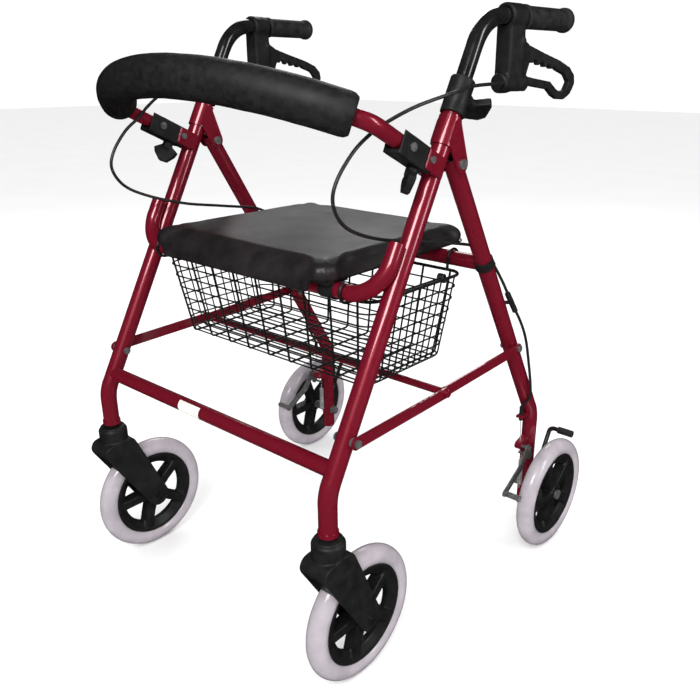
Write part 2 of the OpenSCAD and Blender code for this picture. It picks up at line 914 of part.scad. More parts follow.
// A tube swept along a curve, with one ring of corners at each of its points.
module cable(route, steps, d) {
    curve = route_curve(route, steps);
    last = len(curve) - 1;
    rings = [for (i = [0:last])
        let (
            t = unit(curve[min(i + 1, last)] - curve[max(i - 1, 0)]),
            n = unit(cross(t, [1, 0, 0])),
            b = cross(t, n)
        )
        for (k = [0:cable_sides - 1])
            curve[i] + d / 2 * (cos(k * 360 / cable_sides) * n + sin(k * 360 / cable_sides) * b)];
    walls = [for (i = [0:last - 1]) for (k = [0:cable_sides - 1])
        let (next = (k + 1) % cable_sides)
        [i * cable_sides + k, (i + 1) * cable_sides + k, (i + 1) * cable_sides + next, i * cable_sides + next]];
    start = [for (k = [0:cable_sides - 1]) k];
    end = [for (k = [cable_sides - 1:-1:0]) last * cable_sides + k];
    polyhedron(rings, concat(walls, [start, end]));
}

module upper_cable() {
    cable(upper_route, 4, cable_d);
}

module lower_cable() {
    cable(lower_route, 3, cable_d);
}

module brake_cable_upper(side) {
    color(black) on_side(side) upper_cable();
}

module brake_cable_lower(side) {
    color(black) on_side(side) lower_cable();
}

rear_leg(1);  // rear_leg_left
rear_leg(-1);  // rear_leg_right
rear_cross_tube();
rear_fasteners();
kerb_levers();
kerb_tips();
brake_brackets();
brake_springs();
brake_cable_lower(1);  // brake_cable_lower_left
brake_cable_lower(-1);  // brake_cable_lower_right
cable_fittings();
front_leg(1);  // front_leg_left
front_leg(-1);  // front_leg_right
front_cross_tube();
seat_tube();
hinge_brackets();
front_fasteners();
handle_clamps();
backrest_brackets();
backrest_sockets();
caster_bushes();
brake_cable_upper(1);  // brake_cable_upper_left
brake_cable_upper(-1);  // brake_cable_upper_right
caster_fork(1);  // caster_fork_left
caster_fork(-1);  // caster_fork_right
caster_bolts(1);  // caster_bolts_left
caster_bolts(-1);  // caster_bolts_right
color(black) on_side(1) hub(side_x, front_wheel, 8 + 2 * fit);  // front_hub_left
color(black) on_side(-1) hub(side_x, front_wheel, 8 + 2 * fit);  // front_hub_right
color(grey) on_side(1) tyre(side_x, front_wheel);  // front_tyre_left
color(grey) on_side(-1) tyre(side_x, front_wheel);  // front_tyre_right
color(black) on_side(1) hub(rear_wheel_x, rear_wheel, axle_d + 2 * fit);  // rear_hub_left
color(black) on_side(-1) hub(rear_wheel_x, rear_wheel, axle_d + 2 * fit);  // rear_hub_right
color(grey) on_side(1) tyre(rear_wheel_x, rear_wheel);  // rear_tyre_left
color(grey) on_side(-1) tyre(rear_wheel_x, rear_wheel);  // rear_tyre_right
handle_tube(1);  // handle_tube_left
handle_tube(-1);  // handle_tube_right
grip(1);  // grip_left
grip(-1);  // grip_right
brake_housing(1);  // brake_housing_left
brake_housing(-1);  // brake_housing_right
brake_lever(1);  // brake_lever_left
brake_lever(-1);  // brake_lever_right
brake_arm(1);  // brake_arm_left
brake_arm(-1);  // brake_arm_right
handle_knob(1);  // handle_knob_left
handle_knob(-1);  // handle_knob_right
backrest_knob(1);  // backrest_knob_left
backrest_knob(-1);  // backrest_knob_right
backrest_tube();
backrest_foam();
front_link(1);  // front_link_left
front_link(-1);  // front_link_right
rear_links();
cross_rod();
basket();
basket_handle();
seat_pad();
seat_board();
seat_clips();
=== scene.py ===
import json
import math

import bmesh
import bpy
from mathutils import Matrix, Vector, noise


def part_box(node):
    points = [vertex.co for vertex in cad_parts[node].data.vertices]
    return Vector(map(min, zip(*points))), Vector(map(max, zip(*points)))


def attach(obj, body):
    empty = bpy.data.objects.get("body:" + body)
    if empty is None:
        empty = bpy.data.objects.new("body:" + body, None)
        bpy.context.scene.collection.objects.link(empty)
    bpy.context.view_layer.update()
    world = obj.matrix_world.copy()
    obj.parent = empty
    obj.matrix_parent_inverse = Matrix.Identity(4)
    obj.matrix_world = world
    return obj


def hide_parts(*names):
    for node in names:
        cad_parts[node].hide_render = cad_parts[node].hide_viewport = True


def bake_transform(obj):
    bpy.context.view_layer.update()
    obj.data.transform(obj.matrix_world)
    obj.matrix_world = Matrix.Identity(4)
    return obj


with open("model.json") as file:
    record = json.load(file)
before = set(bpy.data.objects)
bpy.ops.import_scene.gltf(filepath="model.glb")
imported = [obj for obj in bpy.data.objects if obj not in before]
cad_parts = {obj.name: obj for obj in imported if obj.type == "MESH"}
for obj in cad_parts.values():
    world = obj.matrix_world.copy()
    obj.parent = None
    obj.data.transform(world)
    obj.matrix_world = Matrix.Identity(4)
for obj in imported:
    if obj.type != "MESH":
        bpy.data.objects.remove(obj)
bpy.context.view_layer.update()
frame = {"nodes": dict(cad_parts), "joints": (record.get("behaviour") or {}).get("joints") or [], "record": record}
MM = 0.001
SIDES = {"left": 1, "right": -1}
joints = {j["name"]: j for j in frame["joints"]}


# ---------- geometry helpers ----------

def lerp(a, b, t):
    return a + (b - a) * t


def smooth_path(points, steps):
    """Catmull-Rom curve through points given in millimetres; the result is in metres."""
    points = [Vector(p) * MM for p in points]
    last = len(points) - 1
    out = []
    for i in range(last):
        a, b, c, d = points[max(i - 1, 0)], points[i], points[i + 1], points[min(i + 2, last)]
        for k in range(steps):
            t = k / steps
            out.append(0.5 * (2 * b + (c - a) * t + (2 * a - 5 * b + 4 * c - d) * t * t
                              + (3 * b - a - 3 * c + d) * t ** 3))
    return out + [points[last]]


def rounded_path(corners, radius, steps=6):
    """Straight runs with round bends at the inner corners."""
    corners = [Vector(c) for c in corners]
    out = [corners[0]]
    for before, corner, after in zip(corners, corners[1:], corners[2:]):
        back = (before - corner).normalized()
        ahead = (after - corner).normalized()
        half = back.angle(ahead) / 2
        cut = min(radius / math.tan(half), (before - corner).length / 2, (after - corner).length / 2)
        start, end = corner + back * cut, corner + ahead * cut
        for k in range(steps + 1):
            t = k / steps
            out.append(start * (1 - t) ** 2 + corner * 2 * t * (1 - t) + end * t * t)
    return out + [corners[-1]]


def mirrored(points, side):
    """The points on the left (side 1) or on the right (side -1)."""
    return [Vector((p[0] * side, p[1], p[2])) for p in points]


def new_object(name, data):
    piece = bpy.data.objects.new(name, data)
    bpy.context.scene.collection.objects.link(piece)
    return piece


def mesh_object(name, vertices, faces, smooth=True):
    mesh = bpy.data.meshes.new(name)
    mesh.from_pydata([tuple(v) for v in vertices], [], faces)
    mesh.update()
    if smooth:
        mesh.shade_smooth()
    return new_object(name, mesh)


def swept(name, path, section, cap=True):
    """Mesh swept along a path; section(i, t) gives the corners of ring i as (across, up) pairs."""
    path = [Vector(p) for p in path]
    last = len(path) - 1
    tangent = (path[1] - path[0]).normalized()
    normal = tangent.orthogonal().normalized()
    vertices, faces = [], []
    for i, point in enumerate(path):
        step = (path[min(i + 1, last)] - path[max(i - 1, 0)]).normalized()
        normal = (tangent.rotation_difference(step) @ normal).normalized()
        tangent = step
        across = tangent.cross(normal)
        ring = section(i, i / last)
        vertices += [point + normal * u + across * v for u, v in ring]
    count = len(ring)
    for i in range(last):
        for k in range(count):
            n = (k + 1) % count
            faces.append((i * count + k, i * count + n, (i + 1) * count + n, (i + 1) * count + k))
    if cap:
        faces.append(tuple(reversed(range(count))))
        faces.append(tuple(range(last * count, (last + 1) * count)))
    return mesh_object(name, vertices, faces)


def circle_section(radius, sides=16):
    ring = [(radius * math.cos(2 * math.pi * k / sides), radius * math.sin(2 * math.pi * k / sides))
            for k in range(sides)]
    return lambda i, t: ring


def wires(name, paths, radius):
    """Round wires as one curve object, one spline for each path."""
    curve = bpy.data.curves.new(name, "CURVE")
    curve.dimensions = "3D"
    curve.bevel_depth = radius
    curve.bevel_resolution = 3
    curve.use_fill_caps = True
    for path, closed in paths:
        spline = curve.splines.new("POLY")
        spline.points.add(len(path) - 1)
        for slot, point in zip(spline.points, path):
            slot.co = (*point, 1)
        spline.use_cyclic_u = closed
    return new_object(name, curve)


def apply_modifiers(piece):
    graph = bpy.context.evaluated_depsgraph_get()
    mesh = bpy.data.meshes.new_from_object(piece.evaluated_get(graph))
    piece.modifiers.clear()
    old = piece.data
    piece.data = mesh
    bpy.data.meshes.remove(old)


def joined(name, pieces):
    """One object with the meshes of several."""
    mesh = bmesh.new()
    for piece in pieces:
        mesh.from_mesh(piece.data)
        bpy.data.objects.remove(piece)
    bmesh.ops.recalc_face_normals(mesh, faces=mesh.faces)
    data = bpy.data.meshes.new(name)
    mesh.to_mesh(data)
    mesh.free()
    return new_object(name, data)


def round_over(piece, voxel, passes):
    """Fuses a closed mesh and rounds its edges, as a moulded piece has them."""
    remesh = piece.modifiers.new("remesh", "REMESH")
    remesh.mode = "VOXEL"
    remesh.voxel_size = voxel * MM
    soften = piece.modifiers.new("soften", "SMOOTH")
    soften.iterations = passes
    soften.factor = 0.5
    apply_modifiers(piece)
    piece.data.shade_smooth()


def moulded(node, body, material, voxel=1.0, passes=6):
    """The CAD node's own shape with its edges rounded over."""
    piece = new_object(node + "_moulded", frame["nodes"][node].data.copy())
    round_over(piece, voxel, passes)
    finish_piece(piece, body, material, node)


def finish_piece(piece, body, material, *nodes):
    piece.data.materials.clear()
    piece.data.materials.append(material)
    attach(piece, body)
    if nodes:
        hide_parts(*nodes)


# ---------- materials ----------

class Shader:
    """Small helper that adds and links nodes of one material."""

    def __init__(self, name, color, roughness, metallic=0.0, **sockets):
        self.material = bpy.data.materials.new(name)
        self.material.use_nodes = True
        self.tree = self.material.node_tree
        self.bsdf = self.tree.nodes["Principled BSDF"]
        self.bsdf.inputs["Base Color"].default_value = (*color, 1)
        self.bsdf.inputs["Roughness"].default_value = roughness
        self.bsdf.inputs["Metallic"].default_value = metallic
        for socket, value in sockets.items():
            self.bsdf.inputs[socket.replace("_", " ")].default_value = value
        self.coordinates = self.add("ShaderNodeTexCoord").outputs["Object"]

    def add(self, kind, **settings):
        node = self.tree.nodes.new(kind)
        for key, value in settings.items():
            setattr(node, key, value)
        return node

    def link(self, output, target):
        self.tree.links.new(output, target)

    def noise(self, scale, detail=3.0, roughness=0.5, stretch=None):
        node = self.add("ShaderNodeTexNoise")
        node.inputs["Scale"].default_value = scale
        node.inputs["Detail"].default_value = detail
        node.inputs["Roughness"].default_value = roughness
        source = self.coordinates
        if stretch:
            mapping = self.add("ShaderNodeMapping")
            mapping.inputs["Scale"].default_value = stretch
            self.link(source, mapping.inputs["Vector"])
            source = mapping.outputs["Vector"]
        self.link(source, node.inputs["Vector"])
        return node.outputs["Fac"]

    def cells(self, scale):
        node = self.add("ShaderNodeTexVoronoi")
        node.inputs["Scale"].default_value = scale
        self.link(self.coordinates, node.inputs["Vector"])
        return node.outputs["Distance"]

    def ramp(self, source, stops):
        node = self.add("ShaderNodeValToRGB")
        elements = node.color_ramp.elements
        while len(elements) < len(stops):
            elements.new(0.5)
        for element, (place, value) in zip(elements, stops):
            element.position = place
            element.color = (*value, 1) if isinstance(value, tuple) else (value, value, value, 1)
        self.link(source, node.inputs["Fac"])
        return node.outputs["Color"]

    def color(self, output):
        self.link(output, self.bsdf.inputs["Base Color"])
        return self

    def rough(self, source, low, high):
        """Lets the roughness wander between low and high."""
        self.link(self.ramp(source, [(0.3, low), (0.7, high)]), self.bsdf.inputs["Roughness"])
        return self

    def bump(self, source, strength, distance):
        """Adds a layer of relief on top of those already there."""
        node = self.add("ShaderNodeBump")
        node.inputs["Strength"].default_value = strength
        node.inputs["Distance"].default_value = distance
        self.link(source, node.inputs["Height"])
        previous = self.bsdf.inputs["Normal"]
        if previous.is_linked:
            self.link(previous.links[0].from_socket, node.inputs["Normal"])
        self.link(node.outputs["Normal"], previous)
        return self


def metallic_red():
    s = Shader("metallic_red", (0.26, 0.004, 0.03), 0.3, 0.4, Coat_Weight=1.0, Coat_Roughness=0.05)
    flakes = s.noise(2600, 1)
    s.color(s.ramp(flakes, [(0.3, (0.13, 0.002, 0.010)), (0.62, (0.25, 0.005, 0.023)),
                            (0.85, (0.48, 0.03, 0.07))]))
    s.rough(s.noise(60, 4), 0.26, 0.36)
    s.bump(flakes, 0.08, 0.0002)
    return s.bump(s.noise(25, 2), 0.03, 0.001).material


def gloss_black():
    s = Shader("gloss_black", (0.008, 0.008, 0.009), 0.16, 0.0, Coat_Weight=0.6, Coat_Roughness=0.05)
    s.color(s.ramp(s.noise(40), [(0.3, 0.006), (0.75, 0.014)]))
    s.rough(s.noise(90, 5), 0.12, 0.24)
    return s.bump(s.noise(18, 2), 0.04, 0.001).material


def black_plastic():
    s = Shader("black_plastic", (0.01, 0.01, 0.01), 0.5, Specular_IOR_Level=0.3)
    s.color(s.ramp(s.noise(55, 4), [(0.3, 0.007), (0.7, 0.014)]))
    s.rough(s.noise(120, 3), 0.38, 0.56)
    s.bump(s.noise(1500, 2), 0.35, 0.0002)
    return s.bump(s.noise(40, 2), 0.08, 0.001).material


def hub_plastic():
    s = Shader("hub_plastic", (0.009, 0.009, 0.009), 0.4, Specular_IOR_Level=0.3)
    s.color(s.ramp(s.noise(70, 4), [(0.3, 0.006), (0.7, 0.012)]))
    s.rough(s.noise(200, 3), 0.3, 0.48)
    return s.bump(s.noise(900, 2), 0.2, 0.0002).material


def rubber():
    s = Shader("rubber", (0.012, 0.012, 0.012), 0.62, Specular_IOR_Level=0.3)
    s.color(s.ramp(s.noise(80, 5), [(0.3, 0.008), (0.75, 0.022)]))
    s.rough(s.noise(160, 4), 0.52, 0.72)
    return s.bump(s.cells(900), 0.35, 0.0003).material


def foam():
    s = Shader("foam", (0.01, 0.01, 0.01), 0.45, Specular_IOR_Level=0.35)
    s.color(s.ramp(s.noise(120, 6), [(0.25, 0.006), (0.75, 0.016)]))
    s.rough(s.noise(30, 3), 0.45, 0.62)
    s.bump(s.cells(1300), 0.3, 0.0004)
    return s.bump(s.noise(22, 4), 0.15, 0.002).material


def vinyl():
    s = Shader("vinyl", (0.01, 0.009, 0.009), 0.38, 0.0, Coat_Weight=0.1, Coat_Roughness=0.3,
               Specular_IOR_Level=0.4)
    s.color(s.ramp(s.noise(35, 5), [(0.3, (0.009, 0.008, 0.008)), (0.7, (0.022, 0.018, 0.019))]))
    s.rough(s.noise(14, 4), 0.34, 0.5)
    s.bump(s.cells(520), 0.5, 0.0004)
    s.bump(s.noise(260, 4, 0.6), 0.3, 0.0004)
    return s.bump(s.noise(16, 3), 0.35, 0.003).material


def tyre_grey():
    s = Shader("tyre_grey", (0.40, 0.36, 0.39), 0.3, 0.0, Coat_Weight=0.9, Coat_Roughness=0.1)
    s.color(s.ramp(s.noise(26, 6, 0.6), [(0.25, (0.30, 0.27, 0.30)), (0.5, (0.39, 0.35, 0.385)),
                                         (0.8, (0.47, 0.43, 0.46))]))
    s.rough(s.noise(60, 4), 0.3, 0.5)
    return s.bump(s.noise(300, 3), 0.15, 0.0004).material


def zinc():
    s = Shader("zinc", (0.62, 0.62, 0.64), 0.3, 0.5)
    s.color(s.ramp(s.noise(150, 4), [(0.3, 0.42), (0.7, 0.68)]))
    s.rough(s.noise(400, 3), 0.22, 0.42)
    return s.bump(s.noise(900, 2), 0.1, 0.0002).material


def dark_steel():
    s = Shader("dark_steel", (0.16, 0.15, 0.15), 0.34, 0.5)
    s.color(s.ramp(s.noise(150, 4), [(0.3, 0.09), (0.7, 0.2)]))
    s.rough(s.noise(400, 3), 0.26, 0.44)
    return s.bump(s.noise(900, 2), 0.1, 0.0002).material


def sheath():
    s = Shader("sheath", (0.012, 0.012, 0.013), 0.35)
    s.color(s.ramp(s.noise(200, 2), [(0.3, 0.009), (0.7, 0.018)]))
    s.rough(s.noise(300, 3), 0.28, 0.42)
    return s.bump(s.noise(700, 2), 0.12, 0.0002).material


def coated_wire():
    s = Shader("coated_wire", (0.008, 0.008, 0.009), 0.3)
    s.color(s.ramp(s.noise(150, 2), [(0.3, 0.006), (0.7, 0.014)]))
    s.rough(s.noise(220, 3), 0.22, 0.4)
    return s.bump(s.noise(500, 2), 0.15, 0.0003).material


def label_paper():
    s = Shader("label_paper", (0.75, 0.72, 0.6), 0.5)
    s.color(s.ramp(s.noise(90, 4), [(0.3, (0.66, 0.65, 0.56)), (0.6, (0.82, 0.82, 0.76))]))
    return s.bump(s.noise(400, 2), 0.1, 0.0002).material


def floor_paper():
    s = Shader("floor_paper", (0.93, 0.93, 0.93), 0.8)
    s.color(s.ramp(s.noise(3, 2), [(0.3, 0.92), (0.7, 0.94)]))
    return s.material


RED = metallic_red()
GLOSS_BLACK = gloss_black()
PLASTIC = black_plastic()
HUB = hub_plastic()
RUBBER = rubber()
FOAM = foam()
VINYL = vinyl()
TYRE = tyre_grey()
ZINC = zinc()
DARK_STEEL = dark_steel()
SHEATH = sheath()
WIRE = coated_wire()
LABEL = label_paper()

SLOT_MATERIALS = {
    "red_paint": RED, "black_paint": GLOSS_BLACK, "black_wire": WIRE, "steel": DARK_STEEL,
    "grey_tyre": TYRE, "black_rubber": RUBBER, "black_foam": FOAM, "black_vinyl": VINYL,
    "cable_sheath": SHEATH, "black_plastic": PLASTIC,
}


def paint_cad_nodes():
    """Gives each CAD node the finish of its material slot."""
    for part in frame["record"]["subparts"]:
        node = frame["nodes"][part["node"]]
        for i in range(len(node.material_slots)):
            node.material_slots[i].link = "OBJECT"
            node.material_slots[i].material = SLOT_MATERIALS[part["material_slot"]]


# ---------- seat ----------

SEAT_CORNER = 30 * MM
SEAT_TAPER = 0.94       # width at the rear as a share of the width at the front
WELT_SINK = 3.5 * MM    # how far inside the CAD outline the swollen side wall lies


def seat_outline(inset):
    """Rounded trapezoid of the seat, wider at the front, as points going round."""
    low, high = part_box("seat_pad")
    corner = SEAT_CORNER - inset
    outline = []
    for sx, front, start in ((1, True, -90), (1, False, 0), (-1, False, 90), (-1, True, 180)):
        half = high.x * (1 if front else SEAT_TAPER) - inset
        y = low.y + inset if front else high.y - inset
        centre = Vector((sx * (half - corner), y + (corner if front else -corner)))
        for k in range(9):
            a = math.radians(start + 90 * k / 8)
            outline.append(centre + corner * Vector((math.cos(a), math.sin(a))))
    return outline


def seat_pad():
    """Cushion with a roll that hangs over the seat tube, and a welt along its sides and rear."""
    low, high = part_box("seat_pad")
    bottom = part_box("seat_board")[0].z
    height = high.z - bottom
    # each pair is a ring's height, as a share of the cushion's, and its inset in mm
    rings = [[(p.x, p.y, bottom + height * level) for p in seat_outline(inset * MM)]
             for level, inset in ((0.0, 8), (0.1, 3), (0.5, 2), (0.75, 5), (0.9, 12), (0.97, 22))]
    count = len(rings[0])
    faces = [tuple(reversed(range(count)))]
    for i in range(len(rings) - 1):
        for k in range(count):
            n = (k + 1) % count
            faces.append((i * count + k, i * count + n, (i + 1) * count + n, (i + 1) * count + k))
    faces.append(tuple(range((len(rings) - 1) * count, len(rings) * count)))
    cushion = mesh_object("cushion", [v for ring in rings for v in ring], faces)
    reach = high.x - SEAT_CORNER - 4 * MM
    roll = mesh_object("roll", *block((-reach, low.y + 1 * MM, low.z + 2 * MM),
                                      (reach, low.y + 9 * MM, bottom + 0.5 * height)))
    pad = joined("seat_cushion", [cushion, roll])
    puff(pad, bottom, 4.0, high.z + 2 * MM)
    dress_seat(pad, bottom, high.z)
    finish_piece(pad, "seat", VINYL, "seat_pad")
    behind_roll = low.y + SEAT_CORNER + MM
    line = [Vector((p.x, p.y, bottom + 0.12 * height)) for p in seat_outline(WELT_SINK)
            if p.y > behind_roll]
    welt = wires("seat_welt", [(line, False)], 1.3 * MM)
    finish_piece(welt, "seat", VINYL)


def puff(pad, bottom, pressure, ceiling):
    """Swells the pad with cloth simulation; its flat underside stays where it is."""
    remesh = pad.modifiers.new("remesh", "REMESH")
    remesh.mode = "VOXEL"
    remesh.voxel_size = 4 * MM
    apply_modifiers(pad)
    rest = [v.co.copy() for v in pad.data.vertices]
    held = pad.vertex_groups.new(name="held")
    held.add([v.index for v in pad.data.vertices if v.co.z < bottom + 2 * MM], 1.0, "REPLACE")
    cloth = pad.modifiers.new("cloth", "CLOTH")
    cloth.settings.use_pressure = True
    cloth.settings.uniform_pressure_force = pressure
    cloth.settings.effector_weights.gravity = 0
    cloth.settings.vertex_group_mass = "held"
    cloth.settings.tension_stiffness = 30
    cloth.settings.compression_stiffness = 30
    cloth.settings.bending_stiffness = 4
    scene = bpy.context.scene
    for number in range(1, 21):
        scene.frame_set(number)
    apply_modifiers(pad)
    scene.frame_set(1)
    furthest = 6 * MM
    for vertex, start in zip(pad.data.vertices, rest):
        move = vertex.co - start
        if move.length > furthest:
            vertex.co = start + move.normalized() * furthest
        vertex.co.z = min(vertex.co.z, ceiling)
    smoother = pad.modifiers.new("smoother", "SMOOTH")
    smoother.iterations = 5
    finer = pad.modifiers.new("finer", "SUBSURF")
    finer.levels = 1
    apply_modifiers(pad)
    pad.data.shade_smooth()


def dress_seat(pad, bottom, top):
    """Adds the loose vinyl's detail: a crowned top, gathers at the corners and puckers along the sides."""
    low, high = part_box("seat_pad")
    middle_y = (low.y + high.y) / 2
    half_y = (high.y - low.y) / 2
    for vertex in pad.data.vertices:
        co = vertex.co
        u = abs(co.x) / high.x
        v = abs(co.y - middle_y) / half_y
        rise = (co.z - bottom) / (top - bottom)
        if rise > 0.6:
            co.z += 2.5 * MM * (1 - u ** 2) * (1 - v ** 2)
            co.z += 0.8 * MM * noise.noise(Vector((co.x * 9, co.y * 9, 0)))
        edge = max(u, v)
        if edge > 0.9 and rise < 0.85:
            side = Vector((co.x, co.y - middle_y, 0)).normalized()
            angle = math.atan2(co.y - middle_y, co.x)
            gather = math.sin(angle * 110) * max(0.0, u + v - 1.55) * 1.6 * MM
            pucker = noise.noise(Vector((co.x * 38, co.y * 38, co.z * 20))) * 0.9 * MM
            co += side * (gather + pucker)


# ---------- backrest ----------

HOOP_TILT = math.radians(26)
HOOP_RADIUS = 340 * MM
HOOP_FRONT = 177.2 * MM     # from the pivot line to the middle of the sleeve
FOAM_HALF_ANGLE = math.radians(43.8)
FOAM_RADIUS = 26.3 * MM


def hoop_frame():
    """Place of the hoop: its pivot line, with the hoop's plane tilted up to the front."""
    fold = joints["backrest_fold"]["pos_m"]
    return Matrix.Translation((0, fold[1], fold[2])) @ Matrix.Rotation(-HOOP_TILT, 4, "X")


def backrest_foam():
    """Closed-cell foam sleeve with rounded lips at its cut ends."""
    place = hoop_frame()
    steps = 96
    path = []
    for i in range(steps + 1):
        a = math.radians(270) + lerp(-FOAM_HALF_ANGLE, FOAM_HALF_ANGLE, i / steps)
        y = HOOP_RADIUS - HOOP_FRONT + HOOP_RADIUS * math.sin(a)
        path.append(place @ Vector((HOOP_RADIUS * math.cos(a), y, 0)))
    sides = 40

    def section(i, t):
        ends = min(i, steps - i)
        lip = 1 - 0.10 * max(0, 1 - ends) - 0.03 * max(0, 2 - ends)
        ring = []
        for k in range(sides):
            a = 2 * math.pi * k / sides
            r = FOAM_RADIUS * lip
            r += 0.35 * MM * noise.noise(Vector((t * 30, math.cos(a), math.sin(a))))
            ring.append((r * math.cos(a), r * math.sin(a)))
        return ring

    sleeve = swept("backrest_sleeve", path, section)
    bevel = sleeve.modifiers.new("lip", "BEVEL")
    bevel.width = 1.5 * MM
    bevel.limit_method = "ANGLE"
    bevel.angle_limit = math.radians(50)
    bevel.segments = 3
    apply_modifiers(sleeve)
    finish_piece(sleeve, "backrest", FOAM, "backrest_foam")


# ---------- basket ----------

BASKET_LOW, BASKET_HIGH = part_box("basket")
RIM_Z = joints["bail_swing"]["pos_m"][2]
FLOOR_Z = BASKET_LOW.z + 2 * MM
TOP_HALF = BASKET_HIGH.x - 2 * MM
FLOOR_HALF = TOP_HALF * 0.88
TOP_FRONT, TOP_REAR = -177 * MM, 34 * MM
FLOOR_FRONT, FLOOR_REAR = -156 * MM, 24 * MM
CORNER = 24 * MM
HOOK_REACH = 13.7 * MM      # from a tube's middle to the middle of the wire round it
HANDLE_WIRE = 2.0 * MM


def basket_ring(level):
    """Closed rounded rectangle of wire; level 0 is the floor and 1 the rim."""
    half = lerp(FLOOR_HALF, TOP_HALF, level)
    front = lerp(FLOOR_FRONT, TOP_FRONT, level)
    rear = lerp(FLOOR_REAR, TOP_REAR, level)
    z = lerp(FLOOR_Z, RIM_Z, level)
    points = []
    for cx, cy, start in ((half, rear, 0), (-half, rear, 90), (-half, front, 180), (half, front, 270)):
        centre = Vector((cx - math.copysign(CORNER, cx), cy + (CORNER if cy == front else -CORNER)))
        for k in range(7):
            a = math.radians(start + 15 * k)
            points.append(Vector((centre.x + CORNER * math.cos(a), centre.y + CORNER * math.sin(a), z)))
    return points


def basket_rib_across(t):
    """Wire that runs down one side wall, across the floor and up the other side wall."""
    top_y = lerp(TOP_FRONT + CORNER, TOP_REAR - CORNER, t)
    floor_y = lerp(FLOOR_FRONT + CORNER * 0.6, FLOOR_REAR - CORNER * 0.6, t)
    return rounded_path([
        (-TOP_HALF, top_y, RIM_Z), (-FLOOR_HALF, floor_y, FLOOR_Z),
        (FLOOR_HALF, floor_y, FLOOR_Z), (TOP_HALF, top_y, RIM_Z)], 11 * MM)


def basket_rib_along(t):
    """Heavier wire that runs down the front wall, along the floor and up the rear wall."""
    top_x = lerp(-TOP_HALF + CORNER, TOP_HALF - CORNER, t)
    floor_x = lerp(-FLOOR_HALF + CORNER * 0.6, FLOOR_HALF - CORNER * 0.6, t)
    return rounded_path([
        (top_x, TOP_FRONT, RIM_Z), (floor_x, FLOOR_FRONT, FLOOR_Z),
        (floor_x, FLOOR_REAR, FLOOR_Z), (top_x, TOP_REAR, RIM_Z)], 6 * MM)


def round_tube(x, joint, angles):
    """Wire bent round the tube that a joint turns on; angles are in degrees from the rear."""
    tube = joints[joint]["pos_m"]
    return [Vector((x, tube[1] + HOOK_REACH * math.cos(math.radians(a)),
                    tube[2] + HOOK_REACH * math.sin(math.radians(a)))) for a in angles]


def rear_hook(x):
    arc = round_tube(x, "basket_swing", range(180, -1, -15))
    return [Vector((x, TOP_REAR, RIM_Z)), Vector((x, arc[0].y, RIM_Z + 3 * MM))] + arc


def front_hook(x):
    return [Vector((x, TOP_FRONT, RIM_Z))] + round_tube(x, "seat_lift", range(270, 109, -10))


def basket():
    """Fine mesh, heavier ribs from front to rear, rim and hooks."""
    ribs = [(basket_rib_across(i / 10), False) for i in range(11)]
    ribs += [(basket_ring(level), True) for level in (0.02, 0.16, 0.30, 0.44, 0.58, 0.72, 0.86)]
    finish_piece(wires("basket_mesh", ribs, 1.25 * MM), "basket_body", WIRE, "basket")
    heavy = [(basket_rib_along(i / 8), False) for i in range(9)]
    finish_piece(wires("basket_ribs", heavy, 1.7 * MM), "basket_body", WIRE)
    finish_piece(wires("basket_rim", [(basket_ring(1), True)], 2.4 * MM), "basket_body", WIRE)
    hooks = [(rear_hook(s * 194 * MM), False) for s in (1, -1)]
    hooks += [(front_hook(s * 196 * MM), False) for s in (1, -1)]
    finish_piece(wires("basket_hooks", hooks, 2.2 * MM), "basket_body", WIRE)


def basket_handle():
    """Wire bow with a small coil round each pivot."""
    pivot = joints["bail_swing"]["pos_m"]
    x = 218 * MM
    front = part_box("basket_handle")[0].y + HANDLE_WIRE
    bow = rounded_path([
        (x, pivot[1] - 4 * MM, pivot[2]), (x, front, pivot[2]),
        (-x, front, pivot[2]), (-x, pivot[1] - 4 * MM, pivot[2])], 20 * MM)
    paths = [(bow, False)]
    for side in (1, -1):
        coil = []
        for k in range(49):
            a = 2 * math.pi * k / 16
            coil.append(Vector((side * (x + (k / 16 - 1.5) * 3.6 * MM),
                                pivot[1] + 5 * MM * math.cos(a), pivot[2] + 5 * MM * math.sin(a))))
        paths.append((coil, False))
    finish_piece(wires("basket_bail", paths, HANDLE_WIRE), "bail", WIRE, "basket_handle")


# ---------- cables ----------

CABLE_RADIUS = 2.3 * MM
ROUTE_STEPS = 12
LOOP_BOTTOM = 8     # the point of the upper route where its loop is lowest and furthest forward
UPPER_ROUTE = [
    (263, 51, 799), (270, -30, 797), (271, -75, 790), (257, -130, 776), (242, -168, 759),
    (233, -190, 745), (231, -218, 726), (229, -243, 697), (228, -249, 672), (226, -232, 646),
    (220, -195, 627), (212, -135, 609), (214, -65, 596), (224, 0, 584), (232, 30, 578)]
LOWER_ROUTE = [
    (232, 34, 577), (233, 58, 566), (246, 76, 546), (257, 92, 515), (264, 112, 478),
    (267, 140, 440), (268, 160, 405), (268, 176, 360), (268, 189, 315), (265, 196, 289),
    (256, 198, 274), (250, 198, 266)]


def cable(name, path):
    run = swept(name, path, circle_section(CABLE_RADIUS))
    run.data.materials.append(SHEATH)
    return run


def brake_cables():
    """Each upper cable is made as two runs, split where its loop is lowest and furthest forward."""
    split = ROUTE_STEPS * LOOP_BOTTOM
    for side, sign in SIDES.items():
        upper = mirrored(smooth_path(UPPER_ROUTE, ROUTE_STEPS), sign)
        first = cable("cable_to_handle_" + side, upper[:split + 1])
        second = cable("cable_to_leg_" + side, upper[split:])
        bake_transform(first)
        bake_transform(second)
        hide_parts("brake_cable_upper_" + side)
        lower = cable("cable_on_leg_" + side, mirrored(smooth_path(LOWER_ROUTE, ROUTE_STEPS), sign))
        finish_piece(lower, "rear_frame", SHEATH, "brake_cable_lower_" + side)


# ---------- handles, brakes and wheels ----------

